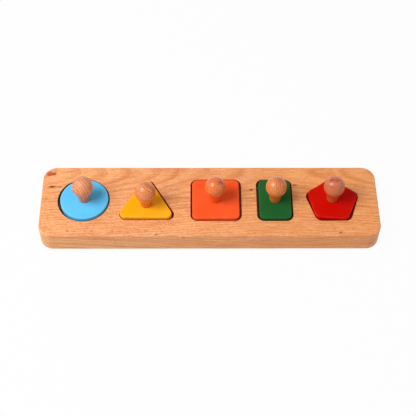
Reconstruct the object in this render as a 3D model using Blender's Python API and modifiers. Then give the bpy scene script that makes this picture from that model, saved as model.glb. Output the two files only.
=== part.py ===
"""Wooden shape puzzle for small children.

One solid beech board holds five painted shapes in a row of shallow pockets. Each shape is a loose
tile with a turned knob, and a countersunk wood screw from below holds the two together.

Sizes are in metres. X runs along the board from the disc to the pentagon, Y runs from the child's
side to the back, and Z runs up. The origin is the middle of the board's underside.
"""

import math
from dataclasses import dataclass

import bmesh
import bpy
from mathutils import Vector

# Board
BOARD_THICKNESS = 0.025
BOARD_CORNER_RADIUS = 0.0145
BOARD_EDGE_RADIUS = 0.0012
FRONT_WALL = 0.0186
BACK_WALL = 0.0162
LEFT_END_WALL = 0.0179
DISC_TO_TRIANGLE_WALL = 0.0114
TRIANGLE_TO_SQUARE_WALL = 0.0176
SQUARE_TO_RECTANGLE_WALL = 0.0164
RECTANGLE_TO_PENTAGON_WALL = 0.0151
RIGHT_END_WALL = 0.0210

# Tiles: a side is measured from sharp corner to sharp corner, before the corners are rounded
TILE_THICKNESS = 0.012
TILE_PROUD = 0.003
TILE_CORNER_RADIUS = 0.0055
PENTAGON_CORNER_RADIUS = 0.0065
TILE_EDGE_RADIUS = 0.0009
DISC_DIAMETER = 0.051
TRIANGLE_SIDE = 0.0626
SQUARE_SIDE = 0.050
RECTANGLE_WIDTH = 0.034
RECTANGLE_DEPTH = 0.050
PENTAGON_SIDE = 0.0338

# How far a knob stands from its tile's middle, to the right and to the back
CENTRED = (0.0, 0.0)
TRIANGLE_KNOB_SHIFT = (0.0001, -0.0009)
SQUARE_KNOB_SHIFT = (-0.0007, -0.0004)
PENTAGON_KNOB_SHIFT = (-0.0004, 0.0015)

# Clearance all round a tile in its pocket: wide for the blunt shapes, close for the pointed ones
WIDE_PLAY = 0.0021
CLOSE_PLAY = 0.0015
SEAT_GAP = 0.0003

# Knob: a ball that runs down into a waisted stem
KNOB_BALL_DIAMETER = 0.022
KNOB_BALL_HEIGHT = 0.0208
KNOB_CROWN_HEIGHT = 0.012
KNOB_FOOT_DIAMETER = 0.012

# Wood screw
SCREW_DIAMETER = 0.004
SCREW_HEAD_DIAMETER = 0.008
SCREW_HEAD_RIM = 0.0005
SCREW_LENGTH = 0.030
SCREW_POINT_LENGTH = 0.004
SCREW_HEAD_SINK = 0.0004
RECESS_LENGTH = 0.0044
RECESS_WIDTH = 0.0011
RECESS_DEPTH = 0.0016

# How finely round shapes are cut up
DISC_SEGMENTS = 64
CORNER_SEGMENTS = 6
BOARD_CORNER_SEGMENTS = 8
EDGE_SEGMENTS = 2
KNOB_SEGMENTS = 32
SCREW_SEGMENTS = 20
CROWN_STEPS = 6
BALL_STEPS = 4
NECK_STEPS = 5
CUT_MARGIN = 0.003
WELD_DISTANCE = 1e-6
SHARP_ANGLE = math.radians(35)

BEECH = (0.855, 0.407, 0.161)
KNOB_BEECH = (0.730, 0.330, 0.140)
ZINC = (0.62, 0.63, 0.64)
BLUE = (0.150, 0.610, 0.956)
YELLOW = (1.000, 0.440, 0.020)
ORANGE = (0.991, 0.120, 0.034)
GREEN = (0.016, 0.119, 0.023)
RED = (0.658, 0.005, 0.001)


@dataclass
class Shape:
    """One piece of the puzzle, drawn about its knob's axis.

    centres are the centres of the tile's corner arcs, anticlockwise, and a disc has a single one.
    lean and turn say how the loose tile lies in its pocket, as shares of the room it has.
    """

    name: str
    centres: list
    radius: float
    play: float
    wall_before: float
    lean: tuple
    turn: float
    colour: tuple

    @property
    def pocket_radius(self):
        return self.radius + self.play

    def reach(self, direction):
        """How far the pocket reaches from the knob's axis in a direction."""
        return max(centre.dot(direction) for centre in self.centres) + self.pocket_radius

    @property
    def pocket_width(self):
        return self.reach(Vector((1, 0))) + self.reach(Vector((-1, 0)))

    @property
    def pocket_depth(self):
        return self.reach(Vector((0, 1))) + self.reach(Vector((0, -1)))

    @property
    def rest_turn(self):
        """The tile's turn at rest: all the room is used once a side's end meets the pocket's wall."""
        if len(self.centres) < 2:
            return 0.0
        half_side = (self.centres[1] - self.centres[0]).length / 2
        return self.turn * math.atan(self.play / half_side)


def regular_corners(count, side):
    """Corners of a regular polygon with one corner at the back, about its middle."""
    circle = side / (2 * math.sin(math.pi / count))
    angles = [math.pi / 2 + 2 * math.pi * i / count for i in range(count)]
    return [Vector((math.cos(a), math.sin(a))) * circle for a in angles]


def rectangle_corners(width, depth):
    """Corners of a rectangle about its middle, anticlockwise."""
    signs = ((1, -1), (1, 1), (-1, 1), (-1, -1))
    return [Vector((x * width / 2, y * depth / 2)) for x, y in signs]


def arc_centres(corners, radius):
    """Each corner drawn in along its bisector until an arc of the radius touches both sides."""
    centres = []
    for i, corner in enumerate(corners):
        before = (corners[i - 1] - corner).normalized()
        after = (corners[(i + 1) % len(corners)] - corner).normalized()
        half_angle = before.angle(after) / 2
        centres.append(corner + (before + after).normalized() * radius / math.sin(half_angle))
    return centres


def about_knob(corners, radius, knob_shift):
    """The corner arcs' centres, measured from the knob's axis instead of the tile's middle."""
    return [centre - Vector(knob_shift) for centre in arc_centres(corners, radius)]


SHAPES = (
    Shape("circle", [Vector(CENTRED)], DISC_DIAMETER / 2, WIDE_PLAY, LEFT_END_WALL, (0.45, -0.22), 0.0, BLUE),
    Shape(
        "triangle",
        about_knob(regular_corners(3, TRIANGLE_SIDE), TILE_CORNER_RADIUS, TRIANGLE_KNOB_SHIFT),
        TILE_CORNER_RADIUS, CLOSE_PLAY, DISC_TO_TRIANGLE_WALL, (-0.62, 0.0), -0.10, YELLOW,
    ),
    Shape(
        "square",
        about_knob(rectangle_corners(SQUARE_SIDE, SQUARE_SIDE), TILE_CORNER_RADIUS, SQUARE_KNOB_SHIFT),
        TILE_CORNER_RADIUS, WIDE_PLAY, TRIANGLE_TO_SQUARE_WALL, (-0.17, -0.24), 0.03, ORANGE,
    ),
    Shape(
        "rectangle",
        about_knob(rectangle_corners(RECTANGLE_WIDTH, RECTANGLE_DEPTH), TILE_CORNER_RADIUS, CENTRED),
        TILE_CORNER_RADIUS, WIDE_PLAY, SQUARE_TO_RECTANGLE_WALL, (0.12, -0.28), 0.0, GREEN,
    ),
    Shape(
        "pentagon",
        about_knob(regular_corners(5, PENTAGON_SIDE), PENTAGON_CORNER_RADIUS, PENTAGON_KNOB_SHIFT),
        PENTAGON_CORNER_RADIUS, CLOSE_PLAY, RECTANGLE_TO_PENTAGON_WALL, (-0.10, 0.10), -0.66, RED,
    ),
)

BOARD_LENGTH = sum(s.wall_before + s.pocket_width for s in SHAPES) + RIGHT_END_WALL
POCKET_ROW_DEPTH = max(s.pocket_depth for s in SHAPES)
BOARD_DEPTH = FRONT_WALL + POCKET_ROW_DEPTH + BACK_WALL
ROW_Y = -BOARD_DEPTH / 2 + FRONT_WALL + POCKET_ROW_DEPTH / 2
POCKET_DEPTH = TILE_THICKNESS + SEAT_GAP - TILE_PROUD
POCKET_FLOOR = BOARD_THICKNESS - POCKET_DEPTH
SCREW_HOLE_RADIUS = SCREW_DIAMETER / 2 + SEAT_GAP
SCREW_HEAD_DEPTH = SCREW_HEAD_RIM + (SCREW_HEAD_DIAMETER - SCREW_DIAMETER) / 2
KNOB_BORE_DEPTH = SCREW_HEAD_SINK + SCREW_LENGTH - TILE_THICKNESS


def clear_scene():
    for obj in list(bpy.data.objects):
        bpy.data.objects.remove(obj, do_unlink=True)


def new_collection(name):
    collection = bpy.data.collections.new(name)
    bpy.context.scene.collection.children.link(collection)
    return collection


def finish_material(name, colour, roughness, metallic=0.0):
    material = bpy.data.materials.new(name)
    material.use_nodes = True
    shader = material.node_tree.nodes["Principled BSDF"]
    shader.inputs["Base Color"].default_value = (*colour, 1)
    shader.inputs["Roughness"].default_value = roughness
    shader.inputs["Metallic"].default_value = metallic
    material.diffuse_color = (*colour, 1)
    return material


def add_object(name, mesh, collection, material=None, parent=None, location=(0, 0, 0)):
    obj = bpy.data.objects.new(name, mesh)
    obj.location = location
    obj.parent = parent
    if material:
        mesh.materials.append(material)
        mesh.shade_smooth()
        mesh.set_sharp_from_angle(angle=SHARP_ANGLE)
    collection.objects.link(obj)
    return obj


def as_cutter(obj):
    obj.hide_render = True
    obj.display_type = "WIRE"
    return obj


def cut(obj, cutter):
    modifier = obj.modifiers.new("Cut " + cutter.name, "BOOLEAN")
    modifier.operation = "DIFFERENCE"
    modifier.solver = "EXACT"
    modifier.object = cutter


def round_edges(obj, radius):
    modifier = obj.modifiers.new("Edges", "BEVEL")
    modifier.limit_method = "ANGLE"
    modifier.angle_limit = SHARP_ANGLE
    modifier.width = radius
    modifier.segments = EDGE_SEGMENTS
    modifier.harden_normals = False


def evaluated_mesh(obj):
    """The object's shape with its modifiers or curve settings applied, as a mesh of its own."""
    bpy.context.view_layer.update()
    graph = bpy.context.evaluated_depsgraph_get()
    return bpy.data.meshes.new_from_object(obj.evaluated_get(graph))


def cleaned(mesh):
    """Welds loose caps to their sides and merges the flat caps' triangles into single faces."""
    bm = bmesh.new()
    bm.from_mesh(mesh)
    bmesh.ops.remove_doubles(bm, verts=bm.verts, dist=WELD_DISTANCE)
    bmesh.ops.dissolve_limit(bm, angle_limit=math.radians(0.5), verts=bm.verts, edges=bm.edges)
    bmesh.ops.recalc_face_normals(bm, faces=bm.faces)
    bm.to_mesh(mesh)
    bm.free()
    return mesh


def arc_ends(centres, radius):
    """For each corner arc: its two ends and their handles, which follow the arc."""
    count = len(centres)
    for i, centre in enumerate(centres):
        before = (centre - centres[i - 1]).normalized()
        after = (centres[(i + 1) % count] - centre).normalized()
        handle = 4 / 3 * math.tan(before.angle(after) / 4) * radius
        start = centre + Vector((before.y, -before.x)) * radius
        end = centre + Vector((after.y, -after.x)) * radius
        yield start, start + before * handle, end, end - after * handle


def outline_mesh(centres, radius, thickness):
    """A plate with straight sides and rounded corners, its middle plane at height 0."""
    curve = bpy.data.curves.new("outline", "CURVE")
    curve.dimensions = "2D"
    curve.fill_mode = "BOTH"
    curve.extrude = thickness / 2
    curve.resolution_u = CORNER_SEGMENTS
    spline = curve.splines.new("BEZIER")
    spline.bezier_points.add(2 * len(centres) - 1)
    spline.use_cyclic_u = True
    points = iter(spline.bezier_points)
    for start, start_handle, end, end_handle in arc_ends(centres, radius):
        point = next(points)
        point.handle_left_type, point.handle_right_type = "VECTOR", "FREE"
        point.co = start.to_3d()
        point.handle_right = start_handle.to_3d()
        point = next(points)
        point.handle_left_type, point.handle_right_type = "FREE", "VECTOR"
        point.co = end.to_3d()
        point.handle_left = end_handle.to_3d()
    helper = bpy.data.objects.new("outline", curve)
    bpy.context.scene.collection.objects.link(helper)
    mesh = cleaned(evaluated_mesh(helper))
    bpy.data.objects.remove(helper)
    bpy.data.curves.remove(curve)
    return mesh


def disc_mesh(radius, thickness):
    mesh = bpy.data.meshes.new("disc")
    bm = bmesh.new()
    bmesh.ops.create_cone(
        bm, cap_ends=True, segments=DISC_SEGMENTS, radius1=radius, radius2=radius, depth=thickness
    )
    bm.to_mesh(mesh)
    bm.free()
    return mesh


def plate_mesh(shape, radius, thickness):
    """The shape as a plate, with the tile's radius or the pocket's."""
    if len(shape.centres) == 1:
        return disc_mesh(radius, thickness)
    return outline_mesh(shape.centres, radius, thickness)


def turned_object(name, profile, segments, collection):
    """A profile of (radius, height) points, run down its outer side, turned about Z."""
    mesh = bpy.data.meshes.new(name)
    vertices = [(radius, 0, height) for radius, height in profile]
    mesh.from_pydata(vertices, [(i, i + 1) for i in range(len(profile) - 1)], [])
    obj = bpy.data.objects.new(name, mesh)
    collection.objects.link(obj)
    modifier = obj.modifiers.new("Turn", "SCREW")
    modifier.steps = segments
    modifier.render_steps = segments
    modifier.use_merge_vertices = True
    modifier.merge_threshold = WELD_DISTANCE
    return obj


def turned_mesh(profile, segments):
    helper = turned_object("profile", profile, segments, bpy.context.scene.collection)
    mesh = evaluated_mesh(helper)
    bpy.data.objects.remove(helper)
    return mesh


def knob_profile():
    """Crown, ball, hollow neck and foot, then up the screw's pilot bore.

    The neck is an arc that leaves the foot upright and meets the ball without a step.
    """
    ball = KNOB_BALL_DIAMETER / 2
    foot = KNOB_FOOT_DIAMETER / 2
    neck = (KNOB_BALL_HEIGHT**2 + foot**2 - ball**2) / (2 * (ball - foot))
    slope = math.atan2(KNOB_BALL_HEIGHT, foot + neck)
    points = []
    for i in range(CROWN_STEPS):
        angle = math.pi / 2 * (1 - i / CROWN_STEPS)
        radius = 0.0 if i == 0 else ball * math.cos(angle)
        points.append((radius, KNOB_BALL_HEIGHT + KNOB_CROWN_HEIGHT * math.sin(angle)))
    for i in range(BALL_STEPS):
        angle = slope * i / BALL_STEPS
        points.append((ball * math.cos(angle), KNOB_BALL_HEIGHT - ball * math.sin(angle)))
    for i in range(NECK_STEPS + 1):
        angle = slope * (1 - i / NECK_STEPS)
        points.append((foot + neck - neck * math.cos(angle), neck * math.sin(angle)))
    bore = SCREW_HOLE_RADIUS
    points += [(bore, 0), (bore, KNOB_BORE_DEPTH - SCREW_POINT_LENGTH), (0, KNOB_BORE_DEPTH)]
    return points


def screw_profile():
    """Point up and countersunk head down, with the head's face at height 0."""
    shank = SCREW_DIAMETER / 2
    head = SCREW_HEAD_DIAMETER / 2
    return [
        (0, SCREW_LENGTH),
        (shank, SCREW_LENGTH - SCREW_POINT_LENGTH),
        (shank, SCREW_HEAD_DEPTH),
        (head, SCREW_HEAD_RIM),
        (head, 0),
        (0, 0),
    ]


def screw_hole_profile():
    """The hole through a tile, with its countersink below, from the tile's underside at height 0."""
    hole = SCREW_HOLE_RADIUS
    mouth = SCREW_HEAD_DIAMETER / 2 + SEAT_GAP
    cone_base = SCREW_HEAD_SINK + SCREW_HEAD_RIM
    top = TILE_THICKNESS + CUT_MARGIN
    return [(0, top), (hole, top), (hole, cone_base + mouth - hole), (mouth, cone_base),
            (mouth, -CUT_MARGIN), (0, -CUT_MARGIN)]


def screw_mesh():
    """The screw with a cross recess sunk in its head."""
    scene_objects = bpy.context.scene.collection
    screw = turned_object("screw", screw_profile(), SCREW_SEGMENTS, scene_objects)
    arms = []
    for name, size_x, size_y in (
        ("recess_x", RECESS_LENGTH, RECESS_WIDTH),
        ("recess_y", RECESS_WIDTH, RECESS_LENGTH),
    ):
        arm = add_object(name, box_mesh(size_x, size_y, 2 * RECESS_DEPTH), scene_objects)
        cut(screw, arm)
        arms.append(arm)
    mesh = evaluated_mesh(screw)
    for helper in (screw, *arms):
        bpy.data.objects.remove(helper)
    return mesh


def box_mesh(size_x, size_y, size_z):
    mesh = bpy.data.meshes.new("box")
    bm = bmesh.new()
    bmesh.ops.create_cube(bm, size=1)
    bmesh.ops.scale(bm, vec=(size_x, size_y, size_z), verts=bm.verts)
    bm.to_mesh(mesh)
    bm.free()
    return mesh


def board_mesh():
    """The plank with its four upright corners rounded."""
    mesh = box_mesh(BOARD_LENGTH, BOARD_DEPTH, BOARD_THICKNESS)
    bm = bmesh.new()
    bm.from_mesh(mesh)
    upright = [e for e in bm.edges if abs(e.verts[0].co.z - e.verts[1].co.z) > BOARD_THICKNESS / 2]
    bmesh.ops.bevel(
        bm, geom=upright, offset=BOARD_CORNER_RADIUS, offset_type="OFFSET",
        segments=BOARD_CORNER_SEGMENTS, profile=0.5, affect="EDGES",
    )
    bm.to_mesh(mesh)
    bm.free()
    return mesh


def make_board(places, parts, cutters):
    """The board, with one pocket under each tile."""
    material = finish_material("beech", BEECH, 0.45)
    board = add_object("board", board_mesh(), parts, material, location=(0, 0, BOARD_THICKNESS / 2))
    round_edges(board, BOARD_EDGE_RADIUS)
    for shape, place in zip(SHAPES, places):
        thickness = POCKET_DEPTH + CUT_MARGIN
        mesh = plate_mesh(shape, shape.pocket_radius, thickness)
        height = POCKET_FLOOR + thickness / 2
        pocket = add_object(shape.name + "_pocket", mesh, cutters, location=(*place, height))
        cut(board, as_cutter(pocket))


def make_piece(shape, place, meshes, materials, parts, cutters):
    """One tile with its knob and screw, on an empty that stands on the line the piece lifts along."""
    lean = Vector(shape.lean) * shape.play
    empty = bpy.data.objects.new(shape.name + "_piece", None)
    empty.location = (*(place + lean), POCKET_FLOOR + SEAT_GAP)
    empty.rotation_euler.z = shape.rest_turn
    parts.objects.link(empty)

    paint = finish_material(shape.name + "_paint", shape.colour, 0.32)
    mesh = plate_mesh(shape, shape.radius, TILE_THICKNESS)
    tile = add_object(shape.name + "_tile", mesh, parts, paint, empty, (0, 0, TILE_THICKNESS / 2))
    round_edges(tile, TILE_EDGE_RADIUS)
    hole = add_object(shape.name + "_screw_hole", meshes["hole"], cutters, parent=empty)
    cut(tile, as_cutter(hole))

    knob = bpy.data.objects.new(shape.name + "_knob", meshes["knob"])
    knob.location.z = TILE_THICKNESS + SEAT_GAP
    screw = bpy.data.objects.new(shape.name + "_screw", meshes["screw"])
    screw.location.z = SCREW_HEAD_SINK
    for obj, material in ((knob, materials["knob"]), (screw, materials["screw"])):
        obj.parent = empty
        parts.objects.link(obj)
        obj.data.materials.clear()
        obj.data.materials.append(material)


def pocket_places():
    """Where each pocket's axis stands: the walls set the steps in X, and the row's middle is in Y."""
    places = []
    edge = -BOARD_LENGTH / 2
    for shape in SHAPES:
        edge += shape.wall_before
        x = edge + shape.reach(Vector((-1, 0)))
        y = ROW_Y - (shape.reach(Vector((0, 1))) - shape.reach(Vector((0, -1)))) / 2
        places.append(Vector((x, y)))
        edge += shape.pocket_width
    return places


def main():
    clear_scene()
    parts = new_collection("shape_puzzle")
    cutters = new_collection("cutters")
    meshes = {
        "knob": turned_mesh(knob_profile(), KNOB_SEGMENTS),
        "screw": screw_mesh(),
        "hole": turned_mesh(screw_hole_profile(), SCREW_SEGMENTS),
    }
    for name in ("knob", "screw"):
        meshes[name].shade_smooth()
        meshes[name].set_sharp_from_angle(angle=SHARP_ANGLE)
    materials = {
        "knob": finish_material("knob_beech", KNOB_BEECH, 0.3),
        "screw": finish_material("zinc_plate", ZINC, 0.35, metallic=1.0),
    }
    places = pocket_places()
    make_board(places, parts, cutters)
    for shape, place in zip(SHAPES, places):
        make_piece(shape, place, meshes, materials, parts, cutters)


main()
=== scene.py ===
"""Looks of a wooden shape puzzle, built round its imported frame.

A beech plank has five pockets in a row, and in each lies a painted shape with a turned knob, held by
a screw from below. Every solid of the frame is stood for by a finer surface of the same size in the
same place, worked out with numpy, and every finish is made of shader nodes.

Lengths are in metres, in the frame's own axes: X along the plank, Y to the back and Z up. Inside the
finishes, patterns are measured in millimetres.
"""

import logging
import math
from abc import ABC, abstractmethod
from dataclasses import dataclass, field
from enum import Enum
from functools import cached_property

import bmesh
import bpy
import numpy as np
from mathutils import Matrix, Vector

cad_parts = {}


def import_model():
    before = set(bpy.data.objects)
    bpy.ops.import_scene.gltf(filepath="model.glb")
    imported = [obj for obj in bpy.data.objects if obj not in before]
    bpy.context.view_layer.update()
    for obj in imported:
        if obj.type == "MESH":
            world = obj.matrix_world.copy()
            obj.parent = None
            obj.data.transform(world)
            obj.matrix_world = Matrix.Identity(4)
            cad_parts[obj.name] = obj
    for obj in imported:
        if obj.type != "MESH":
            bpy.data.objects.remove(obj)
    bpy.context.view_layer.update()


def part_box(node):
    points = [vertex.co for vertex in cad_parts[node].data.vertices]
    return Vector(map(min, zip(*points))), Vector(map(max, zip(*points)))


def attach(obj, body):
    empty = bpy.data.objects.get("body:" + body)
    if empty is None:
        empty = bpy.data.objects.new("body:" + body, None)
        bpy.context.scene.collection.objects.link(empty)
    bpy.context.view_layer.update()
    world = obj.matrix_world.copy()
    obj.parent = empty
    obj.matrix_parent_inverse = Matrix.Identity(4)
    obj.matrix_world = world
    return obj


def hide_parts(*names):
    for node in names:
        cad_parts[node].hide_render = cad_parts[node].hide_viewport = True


log = logging.getLogger("shape_puzzle")

Array = np.ndarray
Object = bpy.types.Object
Material = bpy.types.Material
Tree = bpy.types.NodeTree
Node = bpy.types.Node
Socket = bpy.types.NodeSocket
Colour = tuple[float, float, float]
Place = tuple[float, float, float]
Pair = tuple[float, float]
Feed = Socket | float | tuple

MM = 0.001
ORIGIN = (0.0, 0.0, 0.0)
WHITE = (1.0, 1.0, 1.0, 1.0)
# Points nearer to each other than this are welded into one.
WELD = 2e-7
# Creases steeper than this stay sharp.
SHARP_ANGLE = math.radians(38)
# A flat face keeps a strip this wide beside its rounded edge.
EDGE_FLAT = 0.0005


class Slot(Enum):
    """The material slots of the puzzle's record."""

    BEECH = "beech"
    KNOB_BEECH = "knob_beech"
    BLUE_PAINT = "blue_paint"
    YELLOW_PAINT = "yellow_paint"
    ORANGE_PAINT = "orange_paint"
    GREEN_PAINT = "green_paint"
    RED_PAINT = "red_paint"
    ZINC_PLATE = "zinc_plate"


class Mark(Enum):
    """Names of the numbers that a surface carries at its points, for its finish to read."""

    EDGE = "edge"
    # The cut mark also carries the pockets' painted shade.
    CUT = "cut"


def shade(red: int, green: int, blue: int) -> Colour:
    """A colour as light values, from screen values of 0 to 255.

    Screen values are undone by their curve: ((v + 0.055) / 1.055) to the power 2.4, and v / 12.92
    near black.

    Args:
        red, green, blue: Screen values.

    Returns:
        The three light values.
    """
    screen = np.array([red, green, blue]) / 255
    light = np.where(screen > 0.04045, ((screen + 0.055) / 1.055) ** 2.4, screen / 12.92)
    return tuple(float(value) for value in light)


def eased(steps: int) -> Array:
    """Even steps from 0 to 1, both ends included."""
    return np.linspace(0.0, 1.0, steps + 1)


def quarter(steps: int) -> Array:
    """Even angles from 0 to a quarter turn, both ends included."""
    return eased(steps) * math.pi / 2


def whole_turn(count: int) -> Array:
    """Even angles round a whole turn, the first of them 0."""
    return math.tau * np.arange(count) / count


def unit(angles: Array) -> Array:
    """Unit directions in the plane for an array of angles, as rows of (cosine, sine)."""
    return np.stack([np.cos(angles), np.sin(angles)], axis=-1)


def lifted(plan: Array, height: Array | float) -> Array:
    """Points of the plane with a height added as their third number."""
    return np.concatenate([plan, np.broadcast_to(height, plan.shape[:-1])[..., None]], axis=-1)


def revolved(line: Array, around: Array) -> Array:
    """A line of (radius, height) turned about the upright.

    The surface is (r cos a, r sin a, z) over the line's (r, z) and the turn's angle a.

    Args:
        line: The line, as (rows, 2).
        around: Unit directions of the columns.

    Returns:
        A grid of points.
    """
    return lifted(line[:, None, :1] * around[None], line[:, 1:])


def linked(name: str, data: bpy.types.ID) -> Object:
    """A new object in the scene, at the origin."""
    made = bpy.data.objects.new(name, data)
    bpy.context.scene.collection.objects.link(made)
    return made


@dataclass(frozen=True)
class Path:
    """A closed plan line with rounded corners, cut into points.

    Each point stands a radius away from its centre, in the direction that it faces, so a line that
    lies further in or out has the same centres and directions.
    """

    centres: Array
    facing: Array
    radius: float

    def ring(self, inset: Array | float) -> Array:
        """Points that lie inset within the line: centre + (radius - inset) * direction."""
        return self.centres + (self.radius - np.asarray(inset)[..., None]) * self.facing

    def carry(self, inset: Array, height: Array) -> Array:
        """Carries a profile along the line.

        Row j of the result is the ring at inset j, at height j. A row's inset may be one number, or
        one for each point of the line.

        Args:
            inset: How far in each profile point lies, as (rows, 1) or (rows, points).
            height: Its height, as (rows, 1) or (rows, points).

        Returns:
            A grid of points, as (rows, points, 3).
        """
        return lifted(self.ring(inset), height)

    def moved(self, place: Array) -> "Path":
        """The same line moved to a place of the plane."""
        return Path(self.centres + place, self.facing, self.radius)


@dataclass(frozen=True)
class Outline:
    """A convex plan with straight sides between arcs of one radius about the corners' centres.

    The centres run anticlockwise about the axis at 0, and a disc has a single one.
    """

    centres: Array
    radius: float

    def widened(self, amount: float) -> "Outline":
        """The plan with all its sides moved out by an amount."""
        return Outline(self.centres, self.radius + amount)

    def reach(self, direction: Pair) -> float:
        """How far the plan reaches from its axis in a direction."""
        return float((self.centres @ np.array(direction)).max() + self.radius)

    def towards(self, angles: Array) -> Path:
        """The line where rays from the axis leave the plan.

        A ray with direction u leaves the disc about centre c at t = u.c + sqrt((u.c)^2 - c^2 + r^2).
        It leaves the side with normal n at t = (c.n + r) / (u.n), if that point lies between the
        side's two ends. The plan is convex, so the furthest of all these is where the ray ends.

        Args:
            angles: The rays' angles.

        Returns:
            The path, one point for each ray.
        """
        rays = unit(angles)
        along = rays @ self.centres.T
        under_root = along**2 - (self.centres**2).sum(1) + self.radius**2
        to_arc = np.where(under_root >= 0, along + np.sqrt(np.maximum(under_root, 0)), -1)
        count = len(self.centres)
        if count > 1:
            step = np.roll(self.centres, -1, axis=0) - self.centres
            length = np.linalg.norm(step, axis=1)
            side = step / length[:, None]
            normal = np.stack([side[:, 1], -side[:, 0]], axis=1)
            slope = rays @ normal.T
            offset = (self.centres * normal).sum(1) + self.radius
            to_side = offset / np.where(slope > 1e-9, slope, np.inf)
            spot = (rays[:, None, :] * to_side[..., None] - self.centres) * side
            share = spot.sum(-1)
            to_side = np.where((slope > 1e-9) & (share >= 0) & (share <= length), to_side, -1)
            exits = np.concatenate([to_arc, to_side], axis=1)
        else:
            exits = to_arc
        last = exits.argmax(1)
        points = rays * exits.max(1)[:, None]
        arc = last < count
        corner = self.centres[last % count]
        facing = (points - corner) / self.radius
        if count > 1:
            facing = np.where(arc[:, None], facing, normal[last % count])
        facing = facing / np.linalg.norm(facing, axis=1)[:, None]
        return Path(points - self.radius * facing, facing, self.radius)


@dataclass
class Skin:
    """Patches of one surface, gathered and then sewn into a closed mesh."""

    points: list[Array] = field(default_factory=list)
    faces: list[Array] = field(default_factory=list)
    marks: dict[Mark, list[Array]] = field(default_factory=lambda: {mark: [] for mark in Mark})
    count: int = 0

    def add(self, grid: Array, edge: Array | float = 0.0, cut: Array | float = 0.0) -> None:
        """Adds a patch that closes round its columns.

        The face at row i and column j has the grid's points (i, j), (i, j + 1), (i + 1, j + 1) and
        (i + 1, j), and column j + 1 of the last column is the first one.

        Args:
            grid: Points as (rows, columns, 3).
            edge: How much each row belongs to a rounded edge, from 0 to 1.
            cut: How much of a milled pocket's painted shade and roughness each row gets, from 0 to 1.
        """
        rows, columns = grid.shape[:2]
        number = np.arange(rows * columns).reshape(rows, columns) + self.count
        onward = np.roll(number, -1, axis=1)
        quads = np.stack([number[:-1], onward[:-1], onward[1:], number[1:]], axis=-1)
        self.points.append(grid.reshape(-1, 3))
        self.faces.append(quads.reshape(-1, 4))
        for mark, value in ((Mark.EDGE, edge), (Mark.CUT, cut)):
            spread = np.broadcast_to(np.reshape(value, (-1, 1)), (rows, columns))
            self.marks[mark].append(spread.reshape(-1))
        self.count += rows * columns

    def sewn(self, name: str) -> Object:
        """Welds the patches' shared borders and poles and makes the object.

        Args:
            name: The new object's name.

        Returns:
            The object, at the origin, linked to the scene, smooth but for sharp creases.
        """
        mesh = bpy.data.meshes.new(name)
        points = np.concatenate(self.points).astype(np.float32)
        faces = np.concatenate(self.faces).astype(np.int32)
        mesh.vertices.add(len(points))
        mesh.vertices.foreach_set("co", points.ravel())
        mesh.loops.add(faces.size)
        mesh.loops.foreach_set("vertex_index", faces.ravel())
        mesh.polygons.add(len(faces))
        mesh.polygons.foreach_set("loop_start", np.arange(0, faces.size, 4, dtype=np.int32))
        mesh.update(calc_edges=True)
        for mark, values in self.marks.items():
            layer = mesh.attributes.new(mark.value, "FLOAT", "POINT")
            layer.data.foreach_set("value", np.concatenate(values).astype(np.float32))
        bm = bmesh.new()
        bm.from_mesh(mesh)
        bmesh.ops.remove_doubles(bm, verts=bm.verts, dist=WELD)
        bmesh.ops.recalc_face_normals(bm, faces=bm.faces)
        bm.to_mesh(mesh)
        bm.free()
        mesh.validate()
        mesh.shade_smooth()
        mesh.set_sharp_from_angle(angle=SHARP_ANGLE)
        return linked(name, mesh)


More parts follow.
